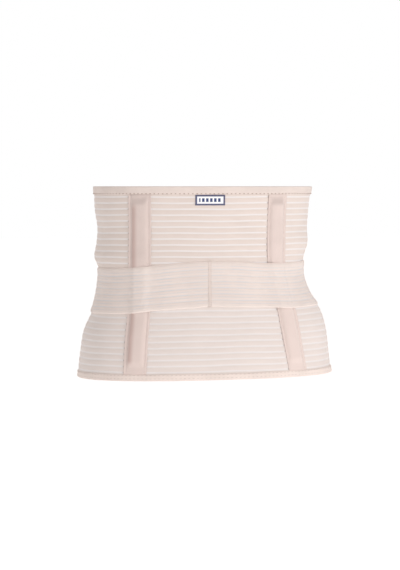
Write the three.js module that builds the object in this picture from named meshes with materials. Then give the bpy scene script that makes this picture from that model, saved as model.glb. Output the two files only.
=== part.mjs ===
// Abdominal binder with two back stays and a waist strap, drawn in the form it has on a waist.
// Millimetres, +Z up, the back of the wearer faces -Y, +X is to the right of the photograph.
// The origin is the middle of the hollow at the waist.
import * as THREE from "three";

// Main sizes
const beltHeight = 252;
const waistShare = 0.56;         // level of the origin, as a share of the belt's height
const halfBreadth = 135;         // inner half breadth at the waist
const halfDepth = 100;           // inner half depth at the waist
const endLift = 3;               // the right end of the lower edge stands this much up, the left end hangs
const backRoundness = 2.35;      // exponent of the section, 2 is an ellipse
const frontRoundness = 2.2;
const gap = 0.3;                 // clearance between pieces that lie on each other

// The belt: flat ribs with a channel of net between them
const ribThickness = 2.2;
const netThickness = 1.0;
const channelCount = 30;
const channelPitch = 7.84;
const channelWidth = 2.6;
const firstChannel = 11.0;       // height of the lowest channel above the lower edge
const beltColumns = 28;
const beltOpening = 0.996;       // share of the half girth where each end of the belt stops

// Folded tapes on the two edges
const tapeThickness = 1.0;
const topHem = 10.5;
const bottomHem = 8.6;

// Pockets and stays
const pocketDistance = 95;       // arc from the centre back to the middle of a pocket
const pocketWidth = 28;
const ridgeShift = 2.4;          // the ridge lies this much nearer to the centre back
const stayWidth = 15;
const stayThickness = 1.4;
const stayFoot = 24;             // height of the lower end above the lower edge
const stayBelowTop = 22;          // from the upper edge down to the upper end
const stayTop = beltHeight - stayBelowTop;

// Straps
const strapWidth = 60;
const strapThickness = 1.9;
const strapNet = 1.1;
const strapChannels = 6;
const strapPitch = 8.0;
const strapChannelWidth = 2.2;
const strapEnd = 0.996;          // share of the half girth where a strap ends, under its closure
const seamWidth = 5;
const seamThickness = 0.8;

// Front pieces, hidden in the photograph
const panelStart = (beltOpening * 11) / 14;  // share of the half girth where the panel starts
const panelThickness = 2.4;
const tabStart = 0.84;
const tabHeight = 70;
const tabThickness = 2;

// Label
const labelWidth = 38.5;
const labelHeight = 13.6;
const labelThickness = 0.6;
const labelBelowTop = 17.6;        // from the upper edge down to the middle of the label
const labelMiddle = beltHeight - labelBelowTop;

// Sections of the hollow from the lower edge to the upper: level is a share of the belt's height,
// left and right are shares of the half breadth, back and front of the half depth.
const sections = [
  { level: 0.00, left: 1.228, right: 1.273, back: 1.20, front: 1.12 },
  { level: 0.12, left: 1.210, right: 1.249, back: 1.17, front: 1.14 },
  { level: 0.24, left: 1.179, right: 1.221, back: 1.11, front: 1.14 },
  { level: 0.34, left: 1.092, right: 1.160, back: 1.05, front: 1.12 },
  { level: 0.43, left: 1.043, right: 1.059, back: 1.01, front: 1.09 },
  { level: 0.52, left: 1.022, right: 0.986, back: 0.99, front: 1.06 },
  { level: 0.62, left: 1.051, right: 0.994, back: 0.99, front: 1.04 },
  { level: 0.70, left: 1.041, right: 1.025, back: 1.00, front: 1.04 },
  { level: 0.78, left: 1.030, right: 1.031, back: 1.02, front: 1.05 },
  { level: 0.88, left: 1.056, right: 1.039, back: 1.05, front: 1.06 },
  { level: 1.00, left: 1.066, right: 1.069, back: 1.08, front: 1.08 },
];

// Middle line of each pocket: level as above, out is a share of the pocket distance.
const leftPocket = [
  { level: 0.00, out: 1.080 }, { level: 0.20, out: 1.045 }, { level: 0.34, out: 1.010 },
  { level: 0.60, out: 0.990 }, { level: 1.00, out: 1.000 },
];
const rightPocket = [
  { level: 0.00, out: 1.290 }, { level: 0.17, out: 1.200 }, { level: 0.36, out: 1.110 },
  { level: 0.48, out: 1.030 }, { level: 0.60, out: 0.985 }, { level: 0.72, out: 0.968 },
  { level: 1.00, out: 0.985 },
];

// Outer face of a pocket across its width: across is a share of the half width, towards the centre
// back, rise is the height of the face over the rib tops.
const pocketFace = [
  { across: -1.00, rise: 1.2 }, { across: -0.74, rise: 1.3 }, { across: -0.62, rise: 2.4 },
  { across: -0.42, rise: 3.7 }, { across: 0.17, rise: 4.2 }, { across: 0.74, rise: 3.7 },
  { across: 0.92, rise: 2.4 }, { across: 1.00, rise: 1.3 },
];

// Its inner face, with the channel for the stay
const pocketBack = [
  { across: 1.00, rise: 0 }, { across: 0.88, rise: 0 }, { across: 0.74, rise: 2.4 },
  { across: 0.17, rise: 2.9 }, { across: -0.42, rise: 2.4 }, { across: -0.58, rise: 0 },
  { across: -1.00, rise: 0 },
];

// The strap stands clear of the pockets: across as above, clear is its height over the rib tops.
const strapTent = [
  { across: -3.00, clear: 0.0 }, { across: -2.10, clear: 0.25 }, { across: -1.45, clear: 1.0 },
  { across: -1.00, clear: 2.1 }, { across: -0.62, clear: 3.4 }, { across: -0.25, clear: 4.35 },
  { across: 0.17, clear: 4.6 }, { across: 0.60, clear: 4.35 }, { across: 1.00, clear: 3.3 },
  { across: 1.45, clear: 1.5 }, { across: 2.10, clear: 0.4 }, { across: 3.00, clear: 0.0 },
];

// Middle height of each strap: out is the arc from the centre back as a share of the half girth,
// up is the height over the lower edge as a share of the belt's height.
const leftStrap = [
  { out: 0.00, up: 0.495 }, { out: 0.10, up: 0.485 }, { out: 0.20, up: 0.472 }, { out: 0.30, up: 0.461 },
  { out: 0.60, up: 0.455 }, { out: 1.00, up: 0.462 },
];
const rightStrap = [
  { out: 0.00, up: 0.495 }, { out: 0.10, up: 0.489 }, { out: 0.20, up: 0.482 }, { out: 0.30, up: 0.479 },
  { out: 0.60, up: 0.485 }, { out: 1.00, up: 0.462 },
];

// Smooth value of a column of a table at a place of its first column
function column(table, key, name, place) {
  const last = table.length - 1;
  const p = Math.min(Math.max(place, table[0][key]), table[last][key]);
  let i = 0;
  while (i < last - 1 && p > table[i + 1][key]) i += 1;
  const slope = (k) => {
    const a = table[Math.max(k - 1, 0)], b = table[Math.min(k + 1, last)];
    return (b[name] - a[name]) / (b[key] - a[key]);
  };
  const step = table[i + 1][key] - table[i][key];
  const t = (p - table[i][key]) / step, t2 = t * t, t3 = t2 * t;
  return (2 * t3 - 3 * t2 + 1) * table[i][name] + (t3 - 2 * t2 + t) * step * slope(i)
    + (3 * t2 - 2 * t3) * table[i + 1][name] + (t3 - t2) * step * slope(i + 1);
}

// Straight value between the rows of a table
function straight(table, key, name, place) {
  const last = table.length - 1;
  if (place <= table[0][key]) return table[0][name];
  if (place >= table[last][key]) return table[last][name];
  let i = 0;
  while (place > table[i + 1][key]) i += 1;
  const t = (place - table[i][key]) / (table[i + 1][key] - table[i][key]);
  return table[i][name] + t * (table[i + 1][name] - table[i][name]);
}

// One half of the section of the hollow at a level, from the centre back to the centre front
const traces = new Map();
function trace(level, side) {
  const name = `${level.toFixed(5)} ${side}`;
  if (traces.has(name)) return traces.get(name);
  const breadth = halfBreadth * column(sections, "level", side > 0 ? "right" : "left", level);
  const back = halfDepth * column(sections, "level", "back", level);
  const front = halfDepth * column(sections, "level", "front", level);
  const points = [];
  let length = 0;
  for (let i = 0; i <= 240; i += 1) {
    const turn = (Math.PI * i) / 240;
    const power = 2 / (turn < Math.PI / 2 ? backRoundness : frontRoundness);
    const x = breadth * Math.sin(turn) ** power * (i === 240 ? 0 : 1);
    const c = Math.cos(turn);
    const y = -Math.sign(c) * (turn < Math.PI / 2 ? back : front) * Math.abs(c) ** power;
    if (i > 0) length += Math.hypot(x - points[i - 1].x, y - points[i - 1].y);
    points.push({ x, y, length });
  }
  const found = { points, length, breadth };
  traces.set(name, found);
  return found;
}

function halfGirth(level, side) {
  return trace(level, side).length;
}

// Place on the belt: around is a signed share of the half girth, past 1 it goes on along the other
// side, height is over the lower edge, out is the distance from the inner face of the belt.
function place(around, height, out) {
  let share = around;
  if (share > 1) share -= 2;
  if (share < -1) share += 2;
  const side = share < 0 ? -1 : 1;
  const level = Math.min(Math.max(height / beltHeight, 0), 1);
  const { points, length, breadth } = trace(level, side);
  const at = (arc) => {
    const a = Math.min(Math.max(arc, 0), length);
    let low = 0, high = points.length - 1;
    while (high - low > 1) {
      const mid = (low + high) >> 1;
      if (points[mid].length > a) high = mid; else low = mid;
    }
    const t = (a - points[low].length) / (points[high].length - points[low].length);
    return [points[low].x + t * (points[high].x - points[low].x),
      points[low].y + t * (points[high].y - points[low].y)];
  };
  const arc = Math.abs(share) * length, reach = 6;
  const p = at(arc), a = at(arc - reach), b = at(arc + reach);
  const size = Math.hypot(b[0] - a[0], b[1] - a[1]);
  let nx = (b[1] - a[1]) / size, ny = -(b[0] - a[0]) / size;
  if (arc < reach) { nx *= arc / reach; ny = -1; }
  if (arc > length - reach) { nx *= (length - arc) / reach; ny = 1; }
  const norm = Math.hypot(nx, ny);
  const x = side * (p[0] + out * nx / norm);
  const tilt = endLift * (1 - level) * side * p[0] / breadth;
  return new THREE.Vector3(x, p[1] + out * ny / norm, height - waistShare * beltHeight + tilt);
}

// Faces of a flat cap over an outline. A long thin wall is closed row by row, so that no face of its
// cap leaves the curved wall: front is then the number of points up its outer face.
function capFaces(outline, front) {
  if (!front) return THREE.ShapeUtils.triangulateShape(outline.map((p) => p.clone()), []);
  const faces = [];
  let i = 0, j = outline.length - 1;
  while (i < front - 1 || j > front) {
    const up = i < front - 1 && (j === front || Math.abs(outline[i + 1].x - outline[0].x)
      <= Math.abs(outline[j - 1].x - outline[0].x));
    faces.push(up ? [i, i + 1, j] : [i, j - 1, j]);
    if (up) i += 1; else j -= 1;
  }
  return faces;
}

// Closed body from rings with the same number of points, closed by a flat cap at each end
function sweep(rings, outline, front = 0) {
  const count = outline.length;
  const points = rings.flat();
  const faces = [];
  for (let k = 0; k + 1 < rings.length; k += 1) {
    for (let i = 0; i < count; i += 1) {
      const j = (i + 1) % count;
      const a = k * count + i, b = k * count + j, c = a + count, d = b + count;
      faces.push(a, b, d, a, d, c);
    }
  }
  const end = (rings.length - 1) * count;
  for (const [a, b, c] of capFaces(outline, front)) {
    const same = (a < b) + (b < c) + (c < a) === 2;
    const [p, q] = same ? [b, c] : [c, b];
    faces.push(a, q, p, end + a, end + p, end + q);
  }
  let volume = 0;
  for (let i = 0; i < faces.length; i += 3) {
    const [a, b, c] = [points[faces[i]], points[faces[i + 1]], points[faces[i + 2]]];
    volume += a.dot(new THREE.Vector3().crossVectors(b, c));
  }
  if (volume < 0) {
    for (let i = 0; i < faces.length; i += 3) [faces[i], faces[i + 1]] = [faces[i + 1], faces[i]];
  }
  const geometry = new THREE.BufferGeometry();
  geometry.setAttribute("position", new THREE.Float32BufferAttribute(points.flatMap((p) => [p.x, p.y, p.z]), 3));
  geometry.setIndex(faces);
  geometry.computeVertexNormals();
  return geometry;
}

// Profile points are pairs of a height and a distance out; the same profile at every column
function band(columns, profile, front = 0) {
  const rings = columns.map((share) => profile.map(([height, out]) => place(share, height, out)));
  return sweep(rings, profile.map(([height, out]) => new THREE.Vector2(height, out)), front);
}

function spread(count, from, to) {
  return Array.from({ length: count + 1 }, (_, i) => from + (i / count) * (to - from));
}

const around = spread(beltColumns, -beltOpening, beltOpening);

// The ribbed wall of the belt
function beltProfile() {
  const points = [[0, ribThickness]];
  for (let i = 0; i < channelCount; i += 1) {
    const middle = firstChannel + i * channelPitch;
    points.push([middle - channelWidth / 2, ribThickness], [middle, netThickness],
      [middle + channelWidth / 2, ribThickness]);
  }
  points.push([beltHeight, ribThickness]);
  // The inner face has its rows closest at the waist, where the wall bends most
  for (const level of [1, 0.88, 0.78, 0.7, 0.64, 0.58, 0.52, 0.46, 0.4, 0.34, 0.24, 0.12, 0]) {
    points.push([level * beltHeight, 0]);
  }
  return points;
}

// Tape folded over an edge at a height, reaching over the wall by its leg
function foldedTape(edge, leg, way) {
  const inner = -gap, outer = ribThickness + gap, cap = edge + way * gap, far = edge + way * (gap + tapeThickness);
  const foot = edge - way * leg;
  return [
    [foot, outer + tapeThickness], [edge, outer + tapeThickness], [far, (outer + inner) / 2],
    [edge, inner - tapeThickness], [foot, inner - tapeThickness], [foot, inner], [cap, inner],
    [cap, outer], [foot, outer],
  ];
}

// Share of the half girth that lies an arc out from the centre back
function shareOf(arc, height, side) {
  return arc / halfGirth(Math.min(Math.max(height / beltHeight, 0), 1), side);
}

function pocketMiddle(line, height) {
  return pocketDistance * column(line, "level", "out", height / beltHeight);
}

// Pocket: across is a share of the half width, positive towards the centre back
function pocketShare(line, side, height, across) {
  const arc = pocketMiddle(line, height) - across * pocketWidth / 2;
  return side * shareOf(arc, height, side);
}

function pocket(line, side) {
  const low = bottomHem + gap, high = beltHeight - topHem - gap;
  const flat = ribThickness + gap;
  // full is how far the channel is raised at a height: it closes to the flat tape past the stay's ends
  const rows = [
    { height: low, full: 0 }, { height: stayFoot - 8, full: 0.1 }, { height: stayFoot - 2, full: 0.88 },
    ...spread(12, stayFoot + 5, stayTop - 5).map((height) => ({ height, full: 1 })),
    { height: stayTop + 2, full: 0.88 }, { height: stayTop + 8, full: 0.1 }, { height: high, full: 0 },
  ];
  const points = (full) => [
    ...pocketFace.map(({ across, rise }) => [across, flat + 0.9 + (rise - 1.2) * full]),
    ...pocketBack.map(({ across, rise }) => [across, flat + rise * full]),
  ];
  const rings = rows.map(({ height, full }) => points(full).map(([across, out]) =>
    place(pocketShare(line, side, height, across), height, out)));
  return sweep(rings, points(1).map(([across, out]) => new THREE.Vector2(across * 10, out)));
}

function stay(line, side) {
  const shift = ridgeShift / (pocketWidth / 2);
  const half = stayWidth / pocketWidth;
  const low = ribThickness + gap + 0.1, top = low + stayThickness;
  const rows = [
    { up: 0.000, wide: 0.42 }, { up: 0.014, wide: 0.84 }, { up: 0.035, wide: 1.0 },
    ...spread(9, 0.12, 0.88).map((up) => ({ up, wide: 1.0 })),
    { up: 0.965, wide: 1.0 }, { up: 0.986, wide: 0.84 }, { up: 1.000, wide: 0.42 },
  ];
  const profile = [[-half, low], [half, low], [half, top], [-half, top]];
  const rings = rows.map(({ up, wide }) => {
    const height = stayFoot + up * (stayTop - stayFoot);
    return profile.map(([across, out]) => place(pocketShare(line, side, height, shift + across * wide), height, out));
  });
  return sweep(rings, profile.map(([across, out]) => new THREE.Vector2(across * 10, out)));
}

// How far out the inner face of a strap lies at an arc from the centre back
function strapFloor(line, side, arc, height) {
  const across = (pocketMiddle(line, height) - arc) / (pocketWidth / 2);
  const tent = straight(strapTent, "across", "clear", across);
  const share = arc / halfGirth(height / beltHeight, side);
  const onPanel = share > panelStart - 0.01 ? panelThickness + gap : 0;
  return ribThickness + gap + Math.max(tent, onPanel);
}

function strap(line, path, side) {
  const middleUp = 0.48 * beltHeight;
  const girth = halfGirth(0.48, side);
  const pocketArc = pocketMiddle(line, middleUp);
  // Columns by their arc as far as past the pocket, then the columns of the belt
  const stations = [gap / 2, 27, 53].map((arc) => ({ arc }));
  for (const row of [...strapTent].reverse().slice(1, -1)) {
    stations.push({ arc: pocketArc - row.across * pocketWidth / 2 });
  }
  const past = (stations[stations.length - 1].arc + 3) / girth;
  for (const share of around) if (share > past && share <= strapEnd) stations.push({ share, arc: share * girth });
  const profile = [[-strapWidth / 2, strapThickness]];
  for (let i = 0; i < strapChannels; i += 1) {
    const middle = (i - (strapChannels - 1) / 2) * strapPitch - 0.6;
    profile.push([middle - strapChannelWidth / 2, strapThickness], [middle, strapNet],
      [middle + strapChannelWidth / 2, strapThickness]);
  }
  profile.push([strapWidth / 2, strapThickness]);
  for (const across of spread(6, strapWidth / 2, -strapWidth / 2)) profile.push([across, 0]);
  const rings = stations.map(({ arc, share }) => profile.map(([across, out]) => {
    const up = beltHeight * column(path, "out", "up", arc / girth) + across;
    // Columns near a pocket follow its slant
    const near = Math.min(1, 1.6 * Math.max(0, 1 - Math.abs(arc - pocketArc) / 70));
    const own = share ? share * halfGirth(up / beltHeight, side)
      : arc + (pocketMiddle(line, up) - pocketArc) * near;
    return place(side * shareOf(own, up, side), up, strapFloor(line, side, own, up) + out);
  }));
  return sweep(rings, profile.map(([a, b]) => new THREE.Vector2(a, b)), 3 * strapChannels + 2);
}

// Narrow tape over the two ends of the straps at the centre back
function seam() {
  const height = beltHeight * leftStrap[0].up;
  const low = ribThickness + gap + strapThickness + gap;
  const half = strapWidth / 2 - 0.5;
  const top = low + seamThickness;
  const profile = [[-half, low], [-half / 3, low], [half / 3, low], [half, low], [half, top],
    [half / 3, top], [-half / 3, top], [-half, top]];
  // The tape is flat across its width
  const rings = [-1, 1].map((side) => profile.map(([across, out]) => {
    const point = place(0, height + across, out);
    return new THREE.Vector3((side * seamWidth) / 2, point.y, point.z);
  }));
  return sweep(rings, profile.map(([a, b]) => new THREE.Vector2(a, b)), profile.length / 2);
}

function label() {
  const low = ribThickness + gap, half = labelHeight / 2;
  const profile = [[-half, low], [half, low], [half, low + labelThickness], [0, low + labelThickness],
    [-half, low + labelThickness]];
  const rings = spread(4, -0.5, 0.5).map((t) => profile.map(([across, out]) => {
    const side = t < 0 ? -1 : 1, up = labelMiddle + across;
    return place(side * shareOf(Math.abs(t) * labelWidth, up, side), up, out);
  }));
  return sweep(rings, profile.map(([a, b]) => new THREE.Vector2(a, b)));
}

// Plush panel over the two ends of the belt, on the columns of the belt
function frontPanel() {
  const low = ribThickness + gap;
  const feet = spread(16, bottomHem + gap + 0.2, beltHeight - topHem - gap - 0.2);
  const profile = [...feet.map((up) => [up, low + panelThickness]), ...feet.reverse().map((up) => [up, low])];
  const half = around.filter((share) => share >= panelStart - 0.001);
  return band([...half, ...half.map((share) => 2 - share).reverse()], profile, profile.length / 2);
}

// Tab over the ends of the straps, with rounded ends
function strapTab() {
  const low = ribThickness + gap + panelThickness + gap + strapThickness + gap;
  const middle = beltHeight * leftStrap[leftStrap.length - 1].up;
  const half = [
    { share: tabStart, tall: 0.62 }, { share: tabStart + 0.006, tall: 0.86 }, { share: tabStart + 0.018, tall: 1.0 },
    ...around.filter((share) => share > tabStart + 0.02).map((share) => ({ share, tall: 1.0 })),
  ];
  const shape = [...half, ...half.map(({ share, tall }) => ({ share: 2 - share, tall })).reverse()];
  const feet = [-1, 0, 1];
  const profile = [...feet.map((t) => [t, low]), ...[...feet].reverse().map((t) => [t, low + tabThickness])];
  const rings = shape.map(({ share, tall }) => profile.map(([t, out]) =>
    place(share, middle + t * tall * tabHeight / 2, out)));
  return sweep(rings, profile.map(([a, b]) => new THREE.Vector2(a, b)));
}

const group = new THREE.Group();
group.name = "abdominal_binder";
function add(name, geometry, colour) {
  const mesh = new THREE.Mesh(geometry, new THREE.MeshStandardMaterial({ color: colour, roughness: 0.9 }));
  mesh.name = name;
  group.add(mesh);
}

add("main_belt", band(around, beltProfile(), 3 * channelCount + 2), 0xe4cfc3);
add("top_binding", band(around, foldedTape(beltHeight, topHem, 1)), 0xe6cfc2);
add("bottom_binding", band(around, foldedTape(0, bottomHem, -1)), 0xe6cfc2);
add("stay_pocket_left", pocket(leftPocket, -1), 0xe0c6ba);
add("stay_pocket_right", pocket(rightPocket, 1), 0xe0c6ba);
add("stay_left", stay(leftPocket, -1), 0x9a9ca0);
add("stay_right", stay(rightPocket, 1), 0x9a9ca0);
add("waist_strap_left", strap(leftPocket, leftStrap, -1), 0xe6d3c9);
add("waist_strap_right", strap(rightPocket, rightStrap, 1), 0xe6d3c9);
add("centre_seam", seam(), 0xe0c8bc);
add("label", label(), 0x2c3a63);
add("front_closure", frontPanel(), 0xdfc7bb);
add("strap_closure", strapTab(), 0xdfc7bb);

export default group;
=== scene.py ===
import math

import bmesh
import bpy
import numpy as np
from mathutils import Matrix, Vector


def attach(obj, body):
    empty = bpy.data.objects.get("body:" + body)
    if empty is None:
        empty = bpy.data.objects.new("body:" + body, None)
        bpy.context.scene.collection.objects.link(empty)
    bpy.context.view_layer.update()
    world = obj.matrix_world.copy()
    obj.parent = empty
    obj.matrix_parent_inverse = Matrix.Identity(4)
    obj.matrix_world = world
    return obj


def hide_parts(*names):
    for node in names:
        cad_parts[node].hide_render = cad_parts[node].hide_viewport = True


bl_info = {
    "name": "Abdominal binder",
    "version": (1, 0, 0),
    "blender": (4, 5, 0),
    "location": "View3D > Sidebar > Binder",
    "description": "Makes a ribbed elastic abdominal binder with stay pockets and a waist strap",
    "category": "Object",
}

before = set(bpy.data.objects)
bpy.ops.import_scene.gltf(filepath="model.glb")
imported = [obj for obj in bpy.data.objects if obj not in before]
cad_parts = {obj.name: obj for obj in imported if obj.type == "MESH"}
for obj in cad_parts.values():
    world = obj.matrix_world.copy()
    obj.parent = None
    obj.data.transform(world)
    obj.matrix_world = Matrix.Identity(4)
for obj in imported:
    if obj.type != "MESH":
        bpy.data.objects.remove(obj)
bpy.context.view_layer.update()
MM = 0.001

# Sections of the hollow, from the lower edge up: level as a share of the belt's height, left and
# right half breadth as shares of the half breadth, back and front as shares of the half depth
SECTIONS = np.array([
    (0.00, 1.228, 1.271, 1.20, 1.12),
    (0.12, 1.210, 1.245, 1.17, 1.14),
    (0.24, 1.172, 1.219, 1.11, 1.14),
    (0.34, 1.092, 1.158, 1.05, 1.12),
    (0.43, 1.042, 1.050, 1.01, 1.09),
    (0.52, 1.018, 0.986, 0.99, 1.06),
    (0.57, 1.022, 0.982, 0.99, 1.05),
    (0.63, 1.062, 0.998, 0.99, 1.04),
    (0.70, 1.042, 1.037, 1.00, 1.04),
    (0.78, 1.032, 1.029, 1.02, 1.05),
    (0.88, 1.056, 1.040, 1.05, 1.06),
    (1.00, 1.066, 1.069, 1.08, 1.08),
])

# Middle line of each pocket: level, distance from the centre back as a share of the pocket distance
LEFT_POCKET = np.array([(0.00, 1.080), (0.20, 1.045), (0.34, 1.010), (0.60, 0.990), (1.00, 1.000)])
RIGHT_POCKET = np.array([
    (0.00, 1.290), (0.17, 1.200), (0.36, 1.110), (0.48, 1.030), (0.60, 0.985), (0.72, 0.968), (1.00, 0.985),
])

# Face of a pocket: millimetres across from its middle, towards the centre back, and its rise over
# what it lies on
POCKET_FACE = np.array([
    (-14.0, 0.05), (-13.4, 0.75), (-11.5, 0.95), (-10.4, 0.90), (-9.7, 0.50), (-9.0, 0.85), (-7.9, 2.10),
    (-6.6, 3.40), (-5.0, 4.05), (-2.5, 4.25), (1.0, 4.20), (5.0, 4.00), (9.0, 3.60), (11.5, 2.80),
    (13.2, 1.60), (14.2, 0.75), (14.8, 0.55), (15.4, 0.80), (16.6, 0.85), (17.6, 0.05),
])

# Clearance of a strap over the rib tops: millimetres across from the middle of a pocket, and height
STRAP_TENT = np.array([
    (-42.0, 0.0), (-27.0, 0.0), (-18.0, 0.25), (-13.5, 0.75), (-10.0, 1.5), (-7.4, 2.8), (-4.8, 4.1),
    (-1.5, 4.6), (2.4, 4.65), (8.4, 4.4), (11.6, 3.6), (14.4, 2.3), (17.5, 1.1), (21.5, 0.4), (28.0, 0.0),
    (42.0, 0.0),
])

# Middle height of each strap: share of the half girth from the centre back, share of the belt's height
LEFT_STRAP = np.array([(0.0, 0.495), (0.1, 0.485), (0.2, 0.472), (0.3, 0.461), (0.6, 0.455), (1.0, 0.462)])
RIGHT_STRAP = np.array([(0.0, 0.495), (0.1, 0.489), (0.2, 0.482), (0.3, 0.479), (0.6, 0.485), (1.0, 0.462)])


def length_setting(name, description, default):
    """A length in metres"""
    return bpy.props.FloatProperty(name=name, description=description, default=default, unit="LENGTH")


def colour_setting(name, description, default):
    """A colour of three parts"""
    return bpy.props.FloatVectorProperty(
        name=name, description=description, default=default, size=3, subtype="COLOR")


class BinderSizes(bpy.types.PropertyGroup):
    """Sizes of the binder"""
    belt_height: length_setting("Belt height", "Height of the elastic belt without its edge tapes", 0.252)
    rib_thickness: length_setting("Rib thickness", "Thickness of the belt at a rib", 0.0022)
    channel_pitch: length_setting("Channel pitch", "Distance from one net channel to the next", 0.00784)
    channel_width: length_setting("Channel width", "Width of a net channel of the belt", 0.0026)
    strap_width: length_setting("Strap width", "Width of the waist straps", 0.060)
    stitch_pitch: length_setting("Stitch pitch", "From one stitch to the next, away from the hems", 0.0031)


class BinderColours(bpy.types.PropertyGroup):
    """Colours of the binder"""
    rib: colour_setting("Rib", "Knitted elastic ribs", (0.765, 0.662, 0.608))
    net: colour_setting("Net", "Net between the ribs of the belt", (0.815, 0.756, 0.742))
    strap_net: colour_setting("Strap net", "Net between the ribs of the straps", (0.69, 0.66, 0.672))
    tape: colour_setting("Tape", "Edge tapes", (0.765, 0.66, 0.61))
    plush: colour_setting("Plush", "Pockets and closures", (0.652, 0.543, 0.505))
    thread: colour_setting("Thread", "Sewing thread", (0.50, 0.365, 0.305))
    navy: colour_setting("Navy", "Dark yarn of the label", (0.035, 0.055, 0.16))


class BinderStage(bpy.types.PropertyGroup):
    """Floor, lights and camera"""
    floor_drop: length_setting("Floor", "Height of the floor", -0.62)
    dome: bpy.props.FloatProperty(name="Dome", description="Strength of the light all round", default=0.64)
    key: bpy.props.FloatProperty(
        name="Key light", description="Power of the large light at the right", default=33.0, unit="POWER")
    distance: length_setting("Camera distance", "From the camera to the middle", 3.2)
    lens: bpy.props.FloatProperty(name="Lens", description="Focal length", default=149.7, unit="CAMERA")


def smooth_column(table, index, at):
    """Smooth value of a column of a table at places of its first column"""
    x, y = table[:, 0], table[:, index]
    slope = np.empty_like(y)
    slope[1:-1] = (y[2:] - y[:-2]) / (x[2:] - x[:-2])
    slope[0] = (y[1] - y[0]) / (x[1] - x[0])
    slope[-1] = (y[-1] - y[-2]) / (x[-1] - x[-2])
    at = np.clip(at, x[0], x[-1])
    i = np.clip(np.searchsorted(x, at, side="right") - 1, 0, len(x) - 2)
    step = x[i + 1] - x[i]
    t = (at - x[i]) / step
    return ((2 * t ** 3 - 3 * t ** 2 + 1) * y[i] + (t ** 3 - 2 * t ** 2 + t) * step * slope[i]
            + (3 * t ** 2 - 2 * t ** 3) * y[i + 1] + (t ** 3 - t ** 2) * step * slope[i + 1])


def ease(value):
    """Smooth step from 0 to 1"""
    t = np.clip(value, 0, 1)
    return t * t * (3 - 2 * t)


class TorsoForm:
    """Form of the hollow. Places are a signed share of the half girth from the centre back, a height
    over the lower edge and a distance out from the inner face, both in millimetres."""
    half_breadth, half_depth = 135.0, 100.0
    waist_share, end_lift = 0.56, 3.0
    back_roundness, front_roundness = 2.35, 2.2
    level_count, share_count, turn_count = 169, 361, 721

    def __init__(self, height):
        self.height = height
        self.levels = np.linspace(0, 1, self.level_count)
        self.shares = np.linspace(0, 1, self.share_count)
        turn = np.linspace(0, math.pi, self.turn_count)
        behind = turn < math.pi / 2
        power = np.where(behind, 2 / self.back_roundness, 2 / self.front_roundness)
        wide, deep = np.abs(np.sin(turn)) ** power, np.abs(np.cos(turn)) ** power
        self.x, self.y, self.nx, self.ny = np.zeros((4, 2, self.level_count, self.share_count))
        self.length, self.breadth = np.zeros((2, 2, self.level_count))
        for side in (0, 1):
            for k, level in enumerate(self.levels):
                breadth = self.half_breadth * smooth_column(SECTIONS, 1 + side, level)
                back = self.half_depth * smooth_column(SECTIONS, 3, level)
                front = self.half_depth * smooth_column(SECTIONS, 4, level)
                x = breadth * wide
                y = np.where(behind, -back, front) * deep
                arc = np.concatenate([[0], np.cumsum(np.hypot(np.diff(x), np.diff(y)))])
                self.length[side, k], self.breadth[side, k] = arc[-1], breadth
                at = self.shares * arc[-1]
                self.x[side, k], self.y[side, k] = np.interp(at, arc, x), np.interp(at, arc, y)
                self.nx[side, k] = np.gradient(self.y[side, k])
                self.ny[side, k] = -np.gradient(self.x[side, k])
                self.nx[side, k, [0, -1]] = 0

    def of_side(self, values, level, side):
        """Value at a level, from the table of the side"""
        left, right = (np.interp(level, self.levels, values[k]) for k in (0, 1))
        return np.where(side > 0, right, left)

    def half_girth(self, height, side):
        """Half girth at a height, right of the centre back where side is above 0"""
        return self.of_side(self.length, np.clip(height / self.height, 0, 1), side)

    def points(self, share, height, out):
        """Points in metres"""
        share, height, out = np.broadcast_arrays(*(np.asarray(v, float) for v in (share, height, out)))
        share = np.where(share > 1, share - 2, np.where(share < -1, share + 2, share))
        side = (share > 0).astype(int)
        sign = np.where(side > 0, 1.0, -1.0)
        level = np.clip(height / self.height, 0, 1)
        a, b = level * (self.level_count - 1), np.abs(share) * (self.share_count - 1)
        i = np.clip(a.astype(int), 0, self.level_count - 2)
        j = np.clip(b.astype(int), 0, self.share_count - 2)
        fa, fb = a - i, b - j

        def pick(grid):
            return ((grid[side, i, j] * (1 - fb) + grid[side, i, j + 1] * fb) * (1 - fa)
                    + (grid[side, i + 1, j] * (1 - fb) + grid[side, i + 1, j + 1] * fb) * fa)

        x, y, nx, ny = pick(self.x), pick(self.y), pick(self.nx), pick(self.ny)
        size = np.hypot(nx, ny)
        tilt = self.end_lift * (1 - level) * sign * x / self.of_side(self.breadth, level, side)
        return np.stack([sign * (x + out * nx / size), y + out * ny / size,
                         height - self.waist_share * self.height + tilt], -1) * MM


# Measures in millimetres shared by several pieces. The ends are shares of the half girth.
GAP = 0.3
POCKET_DISTANCE = 95.0
LEFT_INNER_EDGE, RIGHT_INNER_EDGE = 17.6, 15.0
OUTER_GROOVE, INNER_GROOVE = -9.7, 14.8
STAY_FOOT, STAY_TOP = 24.0, 230.0
TOP_HEM, BOTTOM_HEM = 10.5, 8.6
TAPE_THICKNESS = 1.0
FIRST_CHANNEL, CHANNEL_COUNT = 11.0, 30
NET_DEPTH, BELT_CUT_EDGE = 0.35, 0.8
STRAP_CHANNELS, STRAP_PITCH, STRAP_THICKNESS = 6, 8.0, 1.9
STRAP_FIRST_CHANNEL = -(STRAP_CHANNELS - 1) / 2 * STRAP_PITCH - 0.6
STRAP_NET_WIDTH, STRAP_NET_DEPTH, STRAP_EDGE_TURN = 1.6, 0.4, 2.1
BELT_END, ENDS_MEET = 0.996, 0.9996
CLOTH_HALF, FRONT_HALF = 400.0, 385.0
PANEL_START, PANEL_THICKNESS, PANEL_SEAM = BELT_END * 11 / 14, 2.4, 4.0
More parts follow.
